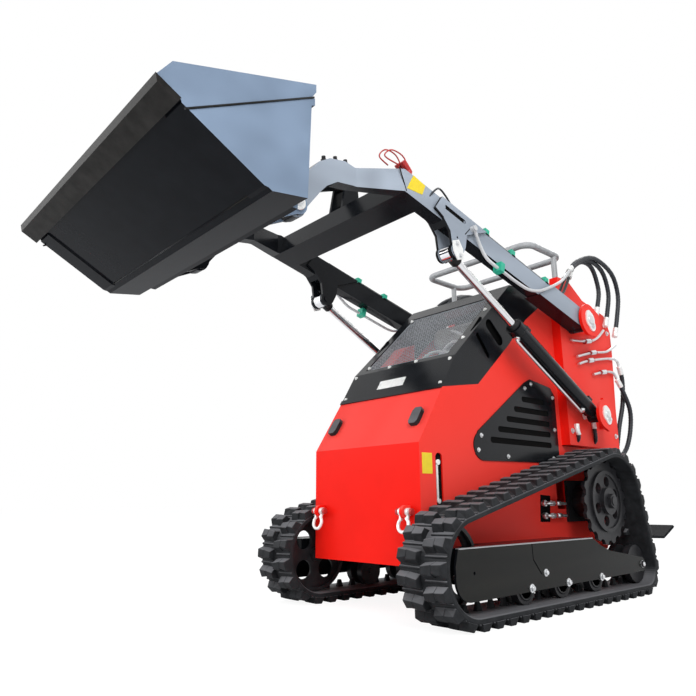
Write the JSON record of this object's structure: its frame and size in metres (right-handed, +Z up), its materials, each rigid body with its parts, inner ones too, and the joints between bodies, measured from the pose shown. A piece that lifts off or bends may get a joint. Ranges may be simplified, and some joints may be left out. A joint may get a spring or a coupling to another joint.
{
  "type": "mini skid steer loader",
  "caption": "Stand-on mini skid steer loader on rubber tracks, with hinged lift arms, hydraulic cylinders and a tilting bucket.",
  "frame": {"origin": "on the ground under the middle of the machine's bounding box", "axes": "+Z up, -Y to the machine's front where the bucket is, +X to the machine's own left side"},
  "size_m": [1, 2.629, 1.564],
  "materials": {
    "red_paint": "gloss",
    "gloss_black": "gloss",
    "satin_black": "satin",
    "rubber": "matte",
    "zinc": "satin",
    "chrome": "polished",
    "dark_iron": "satin",
    "edge_steel": "satin",
    "mesh_steel": "satin",
    "mint_plastic": "matte",
    "coupler_red": "satin",
    "engine_grey": "matte",
    "hot_steel": "matte",
    "rail_grey": "satin",
    "grip_plastic": "matte"
  },
  "bodies": {
    "chassis": {"body_shell": "red_paint", "hood": "gloss_black", "hood_mesh": "mesh_steel", "vent_plates": "gloss_black", "engine_block": "engine_grey", "muffler": "hot_steel", "air_cleaner": "red_paint", "rear_panel": "gloss_black", "console": "gloss_black", "control_levers": "grip_plastic", "grab_rail": "rail_grey", "platform": "satin_black", "bumpers": "rubber", "shackles": "zinc", "level_gauge": "zinc", "tower_left": "red_paint", "tower_right": "red_paint", "tower_pins": "zinc", "tower_tubes": "zinc", "track_left": "rubber", "track_right": "rubber", "track_frame_left": "gloss_black", "track_frame_right": "gloss_black", "sprockets": "dark_iron", "front_idlers": "dark_iron", "rear_idlers": "dark_iron", "rollers": "dark_iron", "drive_motors": "dark_iron", "chassis_hoses": "rubber", "arm_hoses": "rubber"},
    "lift_arms": {"arm_left": "gloss_black", "arm_right": "gloss_black", "cross_member": "gloss_black", "arm_pipes": "zinc", "pipe_clamps": "mint_plastic", "couplers": "coupler_red"},
    "lift_barrel_left": {"lift_barrel_left": "gloss_black"},
    "lift_barrel_right": {"lift_barrel_right": "gloss_black"},
    "lift_rod_left": {"lift_rod_left": "chrome"},
    "lift_rod_right": {"lift_rod_right": "chrome"},
    "tilt_barrel": {"tilt_barrel": "gloss_black"},
    "tilt_rod": {"tilt_rod": "chrome"},
    "bucket": {"bucket_shell": "gloss_black", "cutting_edge": "edge_steel", "hitch": "gloss_black"}
  },
  "joints": [
    {"name": "arm_lift", "type": "hinge", "parent": "chassis", "child": "lift_arms", "pos_m": [0, 0.6755, 1.101], "axis": [-1, 0, 0], "range_deg": [-37, 37], "deforming": ["arm_hoses"]},
    {"name": "lift_swing_left", "type": "hinge", "parent": "chassis", "child": "lift_barrel_left", "pos_m": [0.345, 0.7375, 0.708], "axis": [-1, 0, 0], "range_deg": [-30, 30]},
    {"name": "lift_slide_left", "type": "slide", "parent": "lift_barrel_left", "child": "lift_rod_left", "axis": [0, -0.8851, 0.4653], "range_m": [-0.205, 0.205]},
    {"name": "lift_swing_right", "type": "hinge", "parent": "chassis", "child": "lift_barrel_right", "pos_m": [-0.345, 0.7375, 0.708], "axis": [-1, 0, 0], "range_deg": [-30, 30]},
    {"name": "lift_slide_right", "type": "slide", "parent": "lift_barrel_right", "child": "lift_rod_right", "axis": [0, -0.8851, 0.4653], "range_m": [-0.205, 0.205]},
    {"name": "bucket_tilt", "type": "hinge", "parent": "lift_arms", "child": "bucket", "pos_m": [0, -0.7985, 1.184], "axis": [1, 0, 0], "range_deg": [-20, 64]},
    {"name": "tilt_swing", "type": "hinge", "parent": "lift_arms", "child": "tilt_barrel", "pos_m": [0, -0.3435, 1.536], "axis": [1, 0, 0], "range_deg": [-3, 5]},
    {"name": "tilt_slide", "type": "slide", "parent": "tilt_barrel", "child": "tilt_rod", "axis": [0, -0.9235, -0.3835], "range_m": [-0.06, 0.17]}
  ],
  "couplings": [
    {"joint": "lift_swing_left", "follows": "arm_lift", "ratio": 0.775},
    {"joint": "lift_swing_right", "follows": "arm_lift", "ratio": 0.775},
    {"joint": "lift_slide_left", "follows": "arm_lift", "m_per_rad": 0.31},
    {"joint": "lift_slide_right", "follows": "arm_lift", "m_per_rad": 0.31},
    {"joint": "tilt_swing", "follows": "bucket_tilt", "ratio": 0.04},
    {"joint": "tilt_slide", "follows": "bucket_tilt", "m_per_rad": 0.14}
  ]
}
